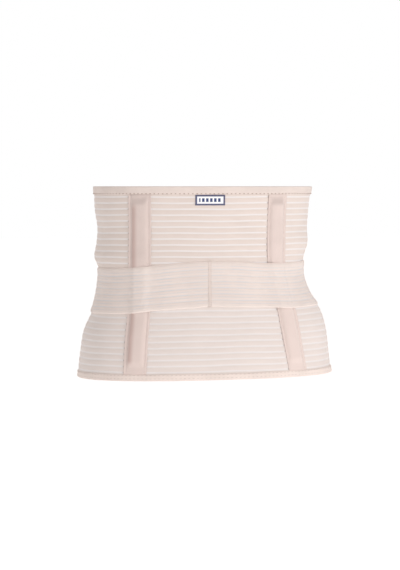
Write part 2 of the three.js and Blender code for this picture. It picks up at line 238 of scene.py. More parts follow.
TAB_START, TAB_HEIGHT, TAB_THICKNESS, TAB_SEAM = 0.84, 70.0, 2.0, 3.6
LABEL_WIDTH, LABEL_HEIGHT, LABEL_MIDDLE = 38.5, 13.6, 234.4
SEAM_WIDTH = 5.0
HEM_STITCH_PITCH = 5.6

# Turn of a ribbed cloth's edge: millimetres in from the edge, and share of the whole turn
EDGE_TURN = ((0.0, 1.0), (0.5, 0.72), (1.2, 0.35), (2.0, 0.1), (2.8, 0.0))
RIB_CROWN, EDGE_CROWN, CHANNEL_LIP = 0.05, 0.1, 0.55


def sizes():
    """Sizes as they are set at present"""
    return bpy.context.scene.binder_sizes


def colours():
    """Colours as they are set at present"""
    return bpy.context.scene.binder_colours


def form():
    """The form of the hollow for the present belt height"""
    height = sizes().belt_height / MM
    if form.kept is None or form.kept.height != height:
        form.kept = TorsoForm(height)
    return form.kept


form.kept = None


def lying_on_belt():
    """Distance out of what lies on the rib tops"""
    return sizes().rib_thickness / MM + GAP


def lying_on_straps():
    """Distance out of what lies on the straps at the front, where they lie on the panel"""
    return lying_on_belt() + PANEL_THICKNESS + GAP + STRAP_THICKNESS + GAP


# Materials

class Nodes:
    """The nodes of a material or of the world, which is called its owner"""

    def __init__(self, owner):
        owner.use_nodes = True
        self.tree = owner.node_tree
        self.tree.nodes.clear()

    def add(self, kind, inputs=None, **settings):
        """A node with its settings, and with a value or a link for each of the inputs named"""
        node = self.tree.nodes.new(kind)
        for key, value in settings.items():
            setattr(node, key, value)
        for key, value in (inputs or {}).items():
            self.fill(node.inputs[key], value)
        return node

    def fill(self, target, value):
        if isinstance(value, bpy.types.NodeSocket):
            self.tree.links.new(value, target)
        else:
            target.default_value = value


class Pattern(Nodes):
    """The nodes of one material"""

    def __init__(self, name, roughness, sheen=0.0):
        self.material = bpy.data.materials.new(name)
        super().__init__(self.material)
        self.surface = self.add("ShaderNodeBsdfPrincipled", {
            "Roughness": roughness, "Sheen Weight": sheen,
            "Sheen Roughness": 0.5, "Specular IOR Level": 0.25})
        self.add("ShaderNodeOutputMaterial", {"Surface": self.surface.outputs["BSDF"]})

    def math(self, operation, *values):
        return self.add("ShaderNodeMath", dict(enumerate(values)), operation=operation).outputs[0]

    def times(self, first, second):
        return self.math("MULTIPLY", first, second)

    def from_middle(self, value, middle=0.0):
        return self.math("ABSOLUTE", self.math("SUBTRACT", value, middle))

    def between(self, value, low, high, to_low=0.0, to_high=1.0):
        inputs = {"Value": value, "From Min": low, "From Max": high, "To Min": to_low, "To Max": to_high}
        return self.add("ShaderNodeMapRange", inputs, interpolation_type="SMOOTHSTEP").outputs[0]

    def window(self, value, start, full, fading, end):
        """0 before start and after end, 1 from full to fading"""
        return self.times(self.between(value, start, full), self.between(value, end, fading))

    def blend(self, amount, first, second):
        node = self.add("ShaderNodeMix", {"Factor": amount}, data_type="RGBA", blend_type="MIX")
        colour_inputs = [s for s in node.inputs if s.type == "RGBA"]
        for target, value in zip(colour_inputs, (first, second)):
            self.fill(target, (*value, 1.0) if isinstance(value, tuple) else value)
        return [s for s in node.outputs if s.type == "RGBA"][0]

    def cloth_place(self):
        """Place on the cloth in millimetres, from its own map"""
        uv = self.add("ShaderNodeUVMap", uv_map="cloth")
        parts = self.add("ShaderNodeSeparateXYZ", {0: uv.outputs[0]})
        return self.times(parts.outputs[0], 1 / MM), self.times(parts.outputs[1], 1 / MM)

    def place(self, *stretch):
        """Place on the object, stretched where three factors are given"""
        place = self.add("ShaderNodeTexCoord").outputs["Object"]
        if not stretch:
            return place
        return self.add("ShaderNodeMapping", {"Vector": place, "Scale": stretch}).outputs[0]

    def noise(self, scale, detail=3.0, roughness=0.55, place=None):
        inputs = {"Scale": scale, "Detail": detail, "Roughness": roughness, "Vector": place or self.place()}
        return self.add("ShaderNodeTexNoise", inputs).outputs["Fac"]

    def wave(self, place, pitch):
        """Smooth rise and fall from 0 to 1 along a place"""
        turns = self.times(place, 2 * math.pi / pitch)
        return self.math("MULTIPLY_ADD", self.math("SINE", turns), 0.5, 0.5)

    def mottled(self, colour, scale, detail, darker, lighter):
        """A colour that varies slowly between a darker and a lighter tone"""
        cloudy = self.noise(scale, detail)
        return self.blend(self.between(cloudy, 0.3, 0.7), tone(colour, darker), tone(colour, lighter))

    def finish(self, colour, height, depth, strength=1.0):
        """Link the colour and a height in units of a depth in metres"""
        bump = self.add("ShaderNodeBump", {"Strength": strength, "Distance": depth, "Height": height})
        self.fill(self.surface.inputs["Base Color"], colour)
        self.fill(self.surface.inputs["Normal"], bump.outputs[0])
        return self.material


def tone(colour, *factors):
    """A colour made darker or lighter, by one factor or by one for each channel"""
    factors = factors * 3 if len(factors) == 1 else factors
    return tuple(min(1.0, c * f) for c, f in zip(colour, factors))


# Measures of the knit in millimetres: its stitches, where the net starts and is full and where a rib's
# shaded edge starts and is full, out from half the net's width, and the pale selvedge of a strap
WALE_PITCH, LOOP_PITCH, NET_THREAD_PITCH = 1.15, 0.95, 1.0
NET_START, NET_FULL = 0.1, -0.45
RIB_EDGE_START, RIB_EDGE_FULL = 1.1, 0.1
SELVEDGE_START, SELVEDGE_FULL = 28.2, 29.4

# Heights over the lower edge between which the cloth turns paler
LOWER_PART = (125.0, 95.0)


def ribbed_knit(name, rib, net, first, pitch, count, width, lower_pale=0.0, fine_lines=0.0):
    """Knitted ribs with channels of net between them. The ribs may be paler in the lower part, or have a
    broken fine line along their middle and a pale selvedge."""
    made = Pattern(name, 0.92, 0.25)
    along, across = made.cloth_place()
    step = made.math("DIVIDE", made.math("SUBTRACT", across, first), pitch)
    nearest = made.math("MINIMUM", made.math("MAXIMUM", made.math("ROUND", step), 0.0), count - 1.0)
    away = made.times(made.from_middle(step, nearest), pitch)
    in_net = made.between(away, width / 2 + NET_START, width / 2 + NET_FULL)
    # Stitches of the knit: narrow wales, each with loops, every second wale shifted by half a loop
    wale = made.wave(along, WALE_PITCH)
    loop = made.wave(made.math("MULTIPLY_ADD", wale, 0.45, across), LOOP_PITCH)
    knit = made.math("MULTIPLY_ADD", made.times(wale, loop), 0.8, made.times(wale, 0.2))
    thread = made.math("POWER", made.wave(along, NET_THREAD_PITCH), 0.7)
    fuzz = made.noise(2400.0, 2.0)
    warm = made.mottled(rib, 22.0, 4.0, 0.965, 1.03)
    warm = made.blend(made.times(made.math("SUBTRACT", 1.0, knit), 0.35), warm, tone(rib, 0.80))
    edge = made.between(away, width / 2 + RIB_EDGE_START, width / 2 + RIB_EDGE_FULL, 0.0, 0.2)
    warm = made.blend(edge, warm, tone(rib, 0.86))
    pale = made.blend(made.times(made.math("SUBTRACT", 1.0, thread), 0.45), net, tone(net, 0.80))
    if lower_pale:
        warm = made.blend(made.between(across, *LOWER_PART, 0.0, lower_pale), warm, net)
    if fine_lines:
        half_way = made.times(made.from_middle(made.math("FRACT", step), 0.5), pitch)
        broken = made.noise(60.0, 3.0)
        line = made.times(made.between(half_way, 0.75, 0.2), made.between(broken, 0.35, 0.6, 0.2, 1.0))
        warm = made.blend(made.times(line, fine_lines), warm, tone(net, 0.92))
        selvedge = made.between(made.from_middle(across), SELVEDGE_START, SELVEDGE_FULL)
        warm = made.blend(selvedge, warm, tone(rib, 1.1))
        in_net = made.times(in_net, made.between(broken, 0.3, 0.65, 0.45, 1.0))
    colour = made.blend(in_net, warm, pale)
    rib_height = made.times(made.math("MULTIPLY_ADD", fuzz, 0.25, knit), made.math("SUBTRACT", 1.0, in_net))
    net_height = made.times(made.times(thread, 0.8), in_net)
    return made.finish(colour, made.math("ADD", rib_height, net_height), 0.00035, 0.8)


def woven_tape(name, colour):
    """Matt woven tape with a fine herringbone, whose slant turns at the middle of the tape"""
    slant_pitch, yarn_pitch, tape_middle = 0.9, 0.55, 4.5
    made = Pattern(name, 0.9, 0.2)
    along, across = made.cloth_place()
    slant = made.wave(made.math("ADD", along, made.from_middle(across, tape_middle)), slant_pitch)
    yarn = made.wave(along, yarn_pitch)
    tint = made.mottled(colour, 30.0, 4.0, 0.96, 1.03)
    tint = made.blend(made.times(slant, 0.16), tint, tone(colour, 0.82))
    return made.finish(tint, made.math("MULTIPLY_ADD", yarn, 0.4, slant), 0.00025, 0.7)


# Painted shade and painted highlight of the pockets in millimetres, each from its start to its end: the
# painted shade of the outer flank, across and up, the painted highlight of the flat margin beside it, and
# the painted shade of the patch over the upper end of a stay
FLANK_SHADE_ACROSS, FLANK_SHADE_UP = (-10.0, -7.4, -5.0, 1.5), (18.0, 28.0, 222.0, 234.0)
MARGIN_HIGHLIGHT_ACROSS = (-13.8, -13.0, -10.9, -10.2)
HEAD_UP, HEAD_MIDDLE, HEAD_HALF = (225.0, 230.0, 236.0, 241.0), 2.0, (10.5, 7.0)


def short_plush(name, colour, flank=0.0, head_shade=0.0):
    """Short brushed nap. The outer flank of a pocket and the patch over the end of its stay get painted
    shade, the flat margin beside the flank a painted highlight, and the lower part of a pocket is painted
    paler, painted light."""
    made = Pattern(name, 0.97, 0.45)
    place = made.place(1.0, 1.0, 0.55)
    nap, brushed = made.noise(1500.0, 3.0, 0.7, place), made.noise(120.0, 4.0, 0.6, place)
    tint = made.mottled(colour, 26.0, 3.0, 0.965, 1.03)
    tint = made.blend(made.between(brushed, 0.45, 0.75, 0.0, 0.35), tint, tone(colour, 1.09))
    tint = made.blend(made.between(nap, 0.5, 0.25, 0.0, 0.4), tint, tone(colour, 0.84))
    if flank or head_shade:
        along, across = made.cloth_place()
        # Painted light: the lower part of a pocket is painted paler
        tint = made.blend(made.between(across, *LOWER_PART), tint, tone(colour, 1.07))
    if flank:
        # Painted shade on the outer flank of the pocket
        shade = made.times(made.window(along, *FLANK_SHADE_ACROSS), made.window(across, *FLANK_SHADE_UP))
        tint = made.blend(made.times(shade, flank), tint, tone(colour, 0.74, 0.61, 0.59))
        # Painted highlight on the flat margin beside the flank
        tint = made.blend(made.window(along, *MARGIN_HIGHLIGHT_ACROSS), tint, tone(colour, 1.12))
    if head_shade:
        # Painted shade over the upper end of the stay
        middle = made.between(made.from_middle(along, HEAD_MIDDLE), *HEAD_HALF, 0.0, head_shade)
        tint = made.blend(made.times(made.window(across, *HEAD_UP), middle), tint, tone(colour, 0.78))
    return made.finish(tint, made.math("MULTIPLY_ADD", nap, 0.7, brushed), 0.0005, 0.6)


def sewing_thread(name, colour):
    """Spun thread with a fine twist of tone"""
    made = Pattern(name, 0.7, 0.1)
    fine = made.noise(900.0, 2.0)
    tint = made.blend(made.between(fine, 0.3, 0.7), tone(colour, 0.85), tone(colour, 1.1))
    return made.finish(tint, fine, 0.0002, 0.5)


def label_weave(name, navy):
    """White woven field with a navy border and a row of short navy bars"""
    side_border, end_border, soft = 2.2, 2.3, 0.3
    bar_pitch, row_half, row_reach, yarn_pitch = 5.2, 2.5, 14.6, 0.5
    made = Pattern(name, 0.75, 0.1)
    along, across = made.cloth_place()
    far_along, far_across = made.math("ABSOLUTE", along), made.math("ABSOLUTE", across)
    end, side = LABEL_WIDTH / 2 - end_border, LABEL_HEIGHT / 2 - side_border
    border = made.math("MAXIMUM", made.between(far_along, end, end + soft),
                       made.between(far_across, side, side + soft))
    bars = made.between(made.wave(along, bar_pitch), 0.28, 0.36)
    row = made.times(made.between(far_across, row_half, row_half - soft),
                     made.between(far_along, row_reach, row_reach - soft))
    dark = made.math("MAXIMUM", border, made.times(bars, row))
    weave = made.times(made.wave(along, yarn_pitch), made.wave(across, yarn_pitch))
    tint = made.blend(dark, (0.86, 0.86, 0.88), navy)
    tint = made.blend(made.times(weave, 0.15), tint, (0.45, 0.46, 0.5))
    return made.finish(tint, weave, 0.0002, 0.6)


def spring_steel(name):
    """Bright steel, brushed along its length"""
    made = Pattern(name, 0.32)
    made.surface.inputs["Metallic"].default_value = 1.0
    brushed = made.noise(900.0, 4.0, 0.6, made.place(1.0, 1.0, 0.04))
    tint = made.blend(brushed, (0.52, 0.53, 0.55), (0.66, 0.67, 0.69))
    return made.finish(tint, brushed, 0.00005, 0.4)


def material(key):
    """One material for each finish, made once"""
    if key not in material.kept:
        tint, size = colours(), sizes()
        rib, net, strap_net, tape, plush, thread = (
            tuple(getattr(tint, part)) for part in ("rib", "net", "strap_net", "tape", "plush", "thread"))
        belt_channels = FIRST_CHANNEL, size.channel_pitch / MM, CHANNEL_COUNT, size.channel_width / MM
        strap_channels = STRAP_FIRST_CHANNEL, STRAP_PITCH, STRAP_CHANNELS, STRAP_NET_WIDTH
        strap_rib = tone(rib, 1.055, 1.065, 1.08)
        makers = {
            "belt": lambda: ribbed_knit("belt_elastic", rib, net, *belt_channels, lower_pale=0.32),
            "strap": lambda: ribbed_knit("strap_elastic", strap_rib, strap_net, *strap_channels,
                                         fine_lines=0.7),
            "tape": lambda: woven_tape("edge_tape", tape),
            "bottom_tape": lambda: woven_tape("bottom_tape", tone(tape, 1.12)),
            "plush": lambda: short_plush("pocket_plush", plush),
            # The left pocket's plush is painted a little darker than the right's, painted shade
            "left_plush": lambda: short_plush("left_plush", tone(plush, 0.97), flank=0.66, head_shade=0.15),
            "right_plush": lambda: short_plush("right_plush", plush, head_shade=0.5),
            "thread": lambda: sewing_thread("sewing_thread", thread),
            "tape_thread": lambda: sewing_thread("tape_thread", tone(tape, 0.84)),
            "hem_thread": lambda: sewing_thread("hem_thread", tone(thread, 0.85)),
            "pale_thread": lambda: sewing_thread("pale_thread", tone(plush, 0.86)),
            # Painted shadow for the dark marks along the pockets' edges
            "channel_shadow_dots": lambda: sewing_thread("channel_shadow_dots", tone(thread, 0.6)),
            "label": lambda: label_weave("woven_label", tuple(tint.navy)),
            "steel": lambda: spring_steel("stay_steel"),
        }
        material.kept[key] = makers[key]()
    return material.kept[key]


material.kept = {}


# Making cloth

def in_scene(name, data):
    """A new object in the scene"""
    thing = bpy.data.objects.new(name, data)
    bpy.context.scene.collection.objects.link(thing)
    return thing


def from_bmesh(bm, name, finish):
    """A new object with the faces of a bmesh and one material"""
    mesh = bpy.data.meshes.new(name)
    bm.to_mesh(mesh)
    bm.free()
    mesh.materials.append(finish)
    return in_scene(name, mesh)


def keep_piece(bm, name, key, replaced=()):
    """Turn a bmesh into a piece that rides on the binder"""
    for face in bm.faces:
        face.smooth = True
    piece = from_bmesh(bm, name, material(key))
    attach(piece, "root")
    if replaced:
        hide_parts(*replaced)
    return piece


def cloth(name, columns, rows, laid, key, thickness, replaced=()):
    """A grid of columns by rows, laid on the form. laid gives the points in metres and their place on
    the cloth in millimetres, for arrays of columns and rows."""
    bm = bmesh.new()
    bmesh.ops.create_grid(bm, x_segments=len(columns) - 1, y_segments=len(rows) - 1, size=0.5)
    start = np.array([v.co[:2] for v in bm.verts]) + 0.5
    column = np.rint(start[:, 0] * (len(columns) - 1)).astype(int)
    row = np.rint(start[:, 1] * (len(rows) - 1)).astype(int)
    points, flat = laid(np.asarray(columns, float)[column], np.asarray(rows, float)[row])
    for vert, point in zip(bm.verts, points):
        vert.co = point
    bm.verts.index_update()
    layer = bm.loops.layers.uv.new("cloth")
    flat = np.stack(np.broadcast_arrays(*flat), -1) * MM
    for face in bm.faces:
        for loop in face.loops:
            loop[layer].uv = flat[loop.vert.index]
    bm.normal_update()
    if sum(face.normal.xy.dot(face.calc_center_median().xy) for face in bm.faces) < 0:
        bmesh.ops.reverse_faces(bm, faces=bm.faces)
    piece = keep_piece(bm, name, key, replaced)
    wall = piece.modifiers.new("wall", "SOLIDIFY")
    wall.thickness = thickness * MM
    wall.offset = -1
    wall.use_rim = True
    return piece


def rib_rows(low, high, first, pitch, count, half, top, net, turned_in=0.3):
    """Rows of a ribbed cloth and how far each stands out. Its two edges turn in towards what it lies on."""
    edge_width, lip, half_way = EDGE_TURN[-1][0], top - 0.02, (top + net) / 2
    rows = [(low + away, top - turned_in * part) for away, part in EDGE_TURN]
    rows.append(((low + edge_width + first - half) / 2, top + EDGE_CROWN))
    for k in range(count):
        middle = first + k * pitch
        rows += [(middle - half - CHANNEL_LIP, lip), (middle - half + 0.12, half_way), (middle, net),
                 (middle + half - 0.12, half_way), (middle + half + CHANNEL_LIP, lip)]
        if k < count - 1:
            rows.append((middle + pitch / 2, top + RIB_CROWN))
    rows.append(((middle + half + high - edge_width) / 2, top + EDGE_CROWN))
    rows += [(high - away, top - turned_in * part) for away, part in reversed(EDGE_TURN)]
    return np.array(rows)


def with_edges(steps, *margins):
    """Steps from -1 to 1 with a few more close to both ends"""
    near = 1 - np.array(margins)
    return np.unique(np.concatenate([steps, near, -near]))


def pocket_middle(line, height):
    """Distance of a pocket's middle from the centre back"""
    return POCKET_DISTANCE * smooth_column(line, 1, height / form().height)


def beside_pocket(line, sign, height, across):
    """Share of the half girth at a distance across from a pocket's middle, towards the centre back"""
    return sign * (pocket_middle(line, height) - across) / form().half_girth(height, sign)


def make_belt():
    """The ribs wander and swell a little, as stretched elastic does"""
    body = form()
    top = sizes().rib_thickness / MM
    rows = rib_rows(BELT_CUT_EDGE, body.height - BELT_CUT_EDGE, FIRST_CHANNEL, sizes().channel_pitch / MM,
                    CHANNEL_COUNT, sizes().channel_width / 2 / MM, top, top - NET_DEPTH)

    def laid(share, height):
        arc = share * body.half_girth(height, (share > 0).astype(int))
        wander = 0.32 * np.sin(arc / 31 + height / 47) + 0.22 * np.sin(arc / 13.7 - height / 23)
        wander *= ease(height / 18) * ease((body.height - height) / 18)
        swell = 0.18 * np.sin(arc / 19 + height / 9) + 0.14 * np.sin(arc / 47 - height / 31)
        out = np.interp(height, rows[:, 0], rows[:, 1]) + swell * ease(height / 12)
        return body.points(share, height + wander, out), (share * CLOTH_HALF, height)

    columns = np.linspace(-ENDS_MEET, ENDS_MEET, 211)
    return cloth("belt", columns, rows[:, 0], laid, "belt", 0.9, ("main_belt",))


def make_binding(name, edge, leg, way, node, key):
    """Tape folded over an edge of the belt, way is 1 at the upper edge. It has small puckers between its
    stitches, and its free edge wavers slowly."""
    body = form()
    outer, inner = lying_on_belt() + TAPE_THICKNESS, 0.1 - GAP - TAPE_THICKNESS
    middle, half = (outer + inner) / 2, (outer - inner) / 2
    path = [(-leg, outer - 0.95), (-leg + 0.5, outer - 0.5), (-leg + 1.3, outer - 0.12),
            (-leg * 0.55, outer + 0.05), (-1.6, outer)]
    outer_rows = len(path)
    path += [(-0.6 + math.sin(t), middle + half * math.cos(t)) for t in np.linspace(0, math.pi, 9)]
    path += [(-1.6, inner - 0.02), (-leg * 0.55, inner - 0.1), (-leg, inner + 0.1)]
    path = np.array(path)

    def laid(share, row):
        away, out = path[row.astype(int)].T
        arc = share * CLOTH_HALF
        pucker = 0.10 * np.sin(arc * 2 * math.pi / 6.2) * np.exp(-((away + leg) / 2.5) ** 2)
        waver = 0.25 * np.sin(arc / 17.0) + 0.15 * np.sin(arc / 6.1)
        lean = np.where(row < outer_rows, waver * ease(-away / leg), 0)
        return body.points(share, edge + way * (away + lean), out + pucker), (arc, np.abs(away))

    columns = np.linspace(-ENDS_MEET, ENDS_MEET, 331)
    return cloth(name, columns, np.arange(len(path)), laid, key, 0.8, (node,))


def pocket_fullness(height):
    """How far the channel of a pocket is raised: flat past the ends of the stay"""
    return ease((height - STAY_FOOT + 8) / 10) * ease((STAY_TOP + 8 - height) / 10)


def cloth_dip(height):
    """What lies over the belt sinks a little into each channel"""
    return -0.13 * np.cos((height - FIRST_CHANNEL) * 2 * math.pi / (sizes().channel_pitch / MM))


def make_pocket(name, line, sign, inner_edge, node):
    """Plush tape with a raised channel for the stay. It sinks where it leaves the end of the stay, and its
    own ends run under the hems."""
    body = form()
    under_hem, flat_rise, ridge_middle = 1.2, 0.95, 2.0
    low, high = BOTTOM_HEM - under_hem, body.height - TOP_HEM + under_hem
    face = POCKET_FACE.copy()
    inner = face[:, 0] > 0
    face[inner, 0] *= inner_edge / face[-1, 0]
    across = np.unique(np.concatenate([face[:, 0], np.linspace(-14, inner_edge, 30)]))
    near_end = np.arange(1, 6) * 0.45
    rows = np.unique(np.concatenate([np.linspace(low, high, 150), low + near_end, high - near_end]))

    def laid(place, height):
        from_stay = np.abs(place - ridge_middle)
        rise = np.interp(place, face[:, 0], face[:, 1])
        flat = np.where(from_stay < 9, flat_rise, np.minimum(rise, flat_rise))
        rise = flat + (rise - flat) * pocket_fullness(height)
        rise -= 0.8 * np.exp(-((height - STAY_TOP - 5.0) / 3.0) ** 2) * (1 - ease((from_stay - 4) / 6))
        dip = cloth_dip(height) * (1 - ease(rise / 2.2))
        under = 1.5 * (1 - ease(np.minimum(height - low, high - height) / 2.4))
        lump = 0.10 * np.sin(height / 11 + place / 3) + 0.08 * np.sin(height / 4.7 - place / 5)
        out = lying_on_belt() + rise + dip + lump * ease(rise) - under
        return body.points(beside_pocket(line, sign, height, place), height, out), (place, height)

    key = "left_plush" if sign < 0 else "right_plush"
    return cloth(name, across, rows, laid, key, 0.7, (node,))


def strap_surface(line, path, sign):
    """Places on a strap: arc from the centre back, millimetres across and rise over its lower face"""
    body = form()
    middle_height = 0.48 * body.height
    girth = float(body.half_girth(np.array(middle_height), sign))
    pocket_arc = float(pocket_middle(line, np.array(middle_height)))
    slant_reach, straight_from, straight_over = 70, 28, 26
    panel_lead, panel_over = 0.035, 0.03

    def place(arc, across, rise):
        height = body.height * smooth_column(path, 1, arc / girth) + across
        near = np.clip(1.6 * (1 - np.abs(arc - pocket_arc) / slant_reach), 0, 1)
        slanted = arc + (pocket_middle(line, height) - pocket_arc) * near
        straight = arc / girth * body.half_girth(height, sign)
        own = slanted + (straight - slanted) * ease((arc - pocket_arc - straight_from) / straight_over)
        tent = smooth_column(STRAP_TENT, 1, pocket_middle(line, height) - own)
        share = own / body.half_girth(height, sign)
        on_panel = (PANEL_THICKNESS + GAP) * ease((share - PANEL_START + panel_lead) / panel_over)
        return share * sign, height, lying_on_belt() + np.maximum(tent, on_panel) + rise

    return place, girth


def make_strap(name, line, path, sign, node):
    """Ribbed strap from the centre back, over a pocket and round to the front"""
    body = form()
    half = sizes().strap_width / 2 / MM
    place, girth = strap_surface(line, path, sign)
    rows = rib_rows(-half, half, STRAP_FIRST_CHANNEL, STRAP_PITCH, STRAP_CHANNELS, 1.0, STRAP_THICKNESS,
                    STRAP_THICKNESS - STRAP_NET_DEPTH, STRAP_EDGE_TURN)

    def laid(arc, across):
        slow = 0.35 * np.sin(arc / 26 + across / 40) + 0.2 * np.sin(arc / 11.5 - across / 17)
        rise = np.interp(across, rows[:, 0], rows[:, 1])
        share, height, out = place(arc, across + slow * ease(arc / 20), rise)
        swell = 0.12 * np.sin(arc / 15 + across / 8)
        return body.points(share, height, out + swell), (arc * sign, across)

    columns = np.linspace(GAP / 2, BELT_END * girth, 190)
    return cloth(name, columns, rows[:, 0], laid, "strap", 0.6, (node,))


def make_seam():
    """Narrow tape over the join of the straps"""
    body = form()
    middle = LEFT_STRAP[0, 1] * body.height
    half = sizes().strap_width / 2 / MM - 0.5
    rise = lying_on_belt() + STRAP_THICKNESS + GAP

    def laid(across, along):
        edge = ease((SEAM_WIDTH / 2 - np.abs(across)) / 0.9)
        share = across / body.half_girth(middle + along, 1)
        ripple = 0.12 * np.cos((along + 0.6) * 2 * math.pi / STRAP_PITCH)
        out = rise + 0.75 * (edge - 1) + ripple * edge
        return body.points(share, middle + along, out), (across, along)

    columns = np.linspace(-SEAM_WIDTH / 2, SEAM_WIDTH / 2, 11)
    return cloth("centre_seam_tape", columns, np.linspace(-half, half, 80), laid, "tape", 0.4,
                 ("centre_seam",))


def make_label():
    """Small woven label, softly bent, with its edges sewn down"""
    body = form()
    half_width, half_height = LABEL_WIDTH / 2, LABEL_HEIGHT / 2

    def laid(along, across):
        height = LABEL_MIDDLE + across
        share = along / body.half_girth(height, 1)
        raised = ease((half_width - np.abs(along)) / 0.8) * ease((half_height - np.abs(across)) / 0.8)
        soft = 0.12 * np.sin(along / 5.0) * np.cos(across / 4.0)
        return body.points(share, height, lying_on_belt() + 0.25 + 0.4 * raised + soft), (along, across)

    columns, rows = np.linspace(-half_width, half_width, 60), np.linspace(-half_height, half_height, 26)
    return cloth("label_face", columns, rows, laid, "label", 0.3, ("label",))


def make_panel():
    """Plush panel over the two ends of the belt"""
    body = form()
    low, high = BOTTOM_HEM + GAP + 0.2, body.height - TOP_HEM - GAP - 0.2
    reach = 1 - PANEL_START

    def laid(part, height):
        along = part * reach * FRONT_HALF
        from_side = (1 - np.abs(part)) * reach * FRONT_HALF
        edge = np.minimum(from_side, np.minimum(height - low, high - height))
        soft = 0.18 * np.sin(along / 14 + height / 19) + 0.12 * np.sin(along / 6 - height / 9)
        seam = -0.45 * np.exp(-((edge - PANEL_SEAM) / 0.8) ** 2)
        rise = 1.0 + (PANEL_THICKNESS - 1.0) * ease(edge / 1.6) + soft * ease(edge / 6) + seam
        return body.points(1 + part * reach, height, lying_on_belt() + rise), (along, height)

    parts = with_edges(np.linspace(-1, 1, 90), 0.005, 0.012, 0.02, 0.045, 0.055)
    return cloth("front_panel", parts, np.linspace(low, high, 130), laid, "plush", 0.9,
                 ("front_closure",))


def make_tab():
    """Rounded tab over the ends of the straps"""
    body = form()
    middle = LEFT_STRAP[-1, 1] * body.height
    reach, corner = 1 - TAB_START, 12.0
    base = lying_on_straps()

    def laid(part, up):
        along = part * reach * FRONT_HALF
        from_side = (1 - np.abs(part)) * reach * FRONT_HALF
        near = np.clip(1 - from_side / corner, 0, 1)
        tall = TAB_HEIGHT / 2 - corner * (1 - np.sqrt(1 - near ** 2 * 0.999))
        edge = np.minimum(from_side, (1 - np.abs(up)) * tall)
        soft = 0.15 * np.sin(along / 9 + up * 3) * ease(edge / 6)
        seam = -0.4 * np.exp(-((edge - TAB_SEAM) / 0.8) ** 2)
        rise = 0.9 + (TAB_THICKNESS - 0.9) * ease(edge / 1.5) + soft + seam
        return body.points(1 + part * reach, middle + up * tall, base + rise), (along, up * tall)

    parts = with_edges(np.linspace(-1, 1, 70), 0.004, 0.01, 0.018, 0.05, 0.065)
    rows = with_edges(np.linspace(-1, 1, 40), 0.015, 0.04)
    return cloth("strap_tab", parts, rows, laid, "plush", 0.9, ("strap_closure",))


# Stitches

def sew(name, runs, pitch=None, radius=0.32, key="thread", fill=0.40):
    """Rows of stitches. Each run gives share, height and distance out, and fill is half of a stitch's
    length as a share of the pitch."""
    body = form()
    pitch = pitch or sizes().stitch_pitch / MM
    flatness, step = 0.75, 0.4
    bm = bmesh.new()
    for share, height, out in runs:
        points = body.points(share, height, out)
        outwards = body.points(share, height, np.asarray(out) + 1.0) - points
        spans = np.linalg.norm(np.diff(points, axis=0), axis=1)
        length = np.concatenate([[0], np.cumsum(spans)]) / MM

        def on_run(places, values):
            return np.stack([np.interp(places, length, values[:, k]) for k in range(3)], 1)

        count = max(2, int(length[-1] / pitch))
        at = (np.arange(count) + 0.5) * length[-1] / count
        ahead = on_run(at + step, points) - on_run(at - step, points)
        for centre, t, n in zip(on_run(at, points), ahead, on_run(at, outwards)):
            t = Vector(t).normalized()
            side = Vector(n).normalized().cross(t).normalized()
            axes = (t * (pitch * fill * MM), side * (radius * MM), t.cross(side) * (radius * flatness * MM))
            turn = Matrix(axes).transposed().to_4x4()
            turn.translation = Vector(centre)
            bmesh.ops.create_icosphere(bm, subdivisions=1, radius=1.0, matrix=turn)
    return keep_piece(bm, name, key)


def sew_hems():
    """One row of long stitches along the upper tape, two quiet rows along the lower"""
    body = form()
    ring = np.linspace(0.002 - BELT_END, BELT_END - 0.002, 900)
    out = lying_on_belt() + TAPE_THICKNESS + 0.12
    sew("top_hem_stitches", [(ring, body.height - TOP_HEM + 1.2, out - 0.1)],
        pitch=HEM_STITCH_PITCH, radius=0.6, key="hem_thread", fill=0.22)
    sew("bottom_hem_stitches", [(ring, BOTTOM_HEM - inset, out) for inset in (1.4, 5.6)],
        pitch=HEM_STITCH_PITCH, radius=0.3, key="tape_thread", fill=0.32)


def sew_pocket(side, line, sign, inner_edge, shadow_dot_edge):
    """A row of stitches along both edges of a pocket, and short dark marks of thread, painted shadow, where
    the net channels run under one of them"""
    height = np.linspace(BOTTOM_HEM + 2, form().height - TOP_HEM - 2, 400)
    out = lying_on_belt() + 0.42
    grooves = OUTER_GROOVE, inner_edge * INNER_GROOVE / LEFT_INNER_EDGE
    runs = [(beside_pocket(line, sign, height, across), height, out) for across in grooves]
    sew(f"pocket_stitches_{side}", runs, radius=0.3, key="pale_thread")
    # Painted shadow: short dark marks where the recessed net channels meet the pocket's edge
    half, out = 0.8, lying_on_belt() - 0.25
    runs = []
    for k in range(CHANNEL_COUNT):
        up = FIRST_CHANNEL + k * sizes().channel_pitch / MM + np.array([-half, half])
        runs.append((beside_pocket(line, sign, up, shadow_dot_edge), up, out))
    sew(f"edge_shadow_dots_{side}", runs, pitch=half, radius=0.5, key="channel_shadow_dots")


def sew_seam():
    """Two rows along the seam tape of the straps"""
    body = form()
    height = LEFT_STRAP[0, 1] * body.height + np.linspace(-28.5, 28.5, 60)
    out = lying_on_belt() + STRAP_THICKNESS + GAP + 0.02
    runs = [(across / body.half_girth(height, 1), height, out) for across in (-1.5, 1.5)]
    sew("seam_stitches", runs, pitch=2.6, radius=0.26, key="pale_thread")


def sew_label():
    """Small stitches round the label"""
    body = form()
    inset, out = 0.9, lying_on_belt() + 0.7
    along, across = LABEL_WIDTH / 2 - inset, LABEL_HEIGHT / 2 - inset
    rows = np.linspace(-1, 1, 40)
    girth, side_heights = body.half_girth(LABEL_MIDDLE, 1), LABEL_MIDDLE + rows * across
    runs = [(rows * along / girth, LABEL_MIDDLE + sign * across, out) for sign in (-1, 1)]
    runs += [(sign * along / body.half_girth(side_heights, 1), side_heights, out) for sign in (-1, 1)]
    sew("label_stitches", runs, pitch=1.9, radius=0.2)


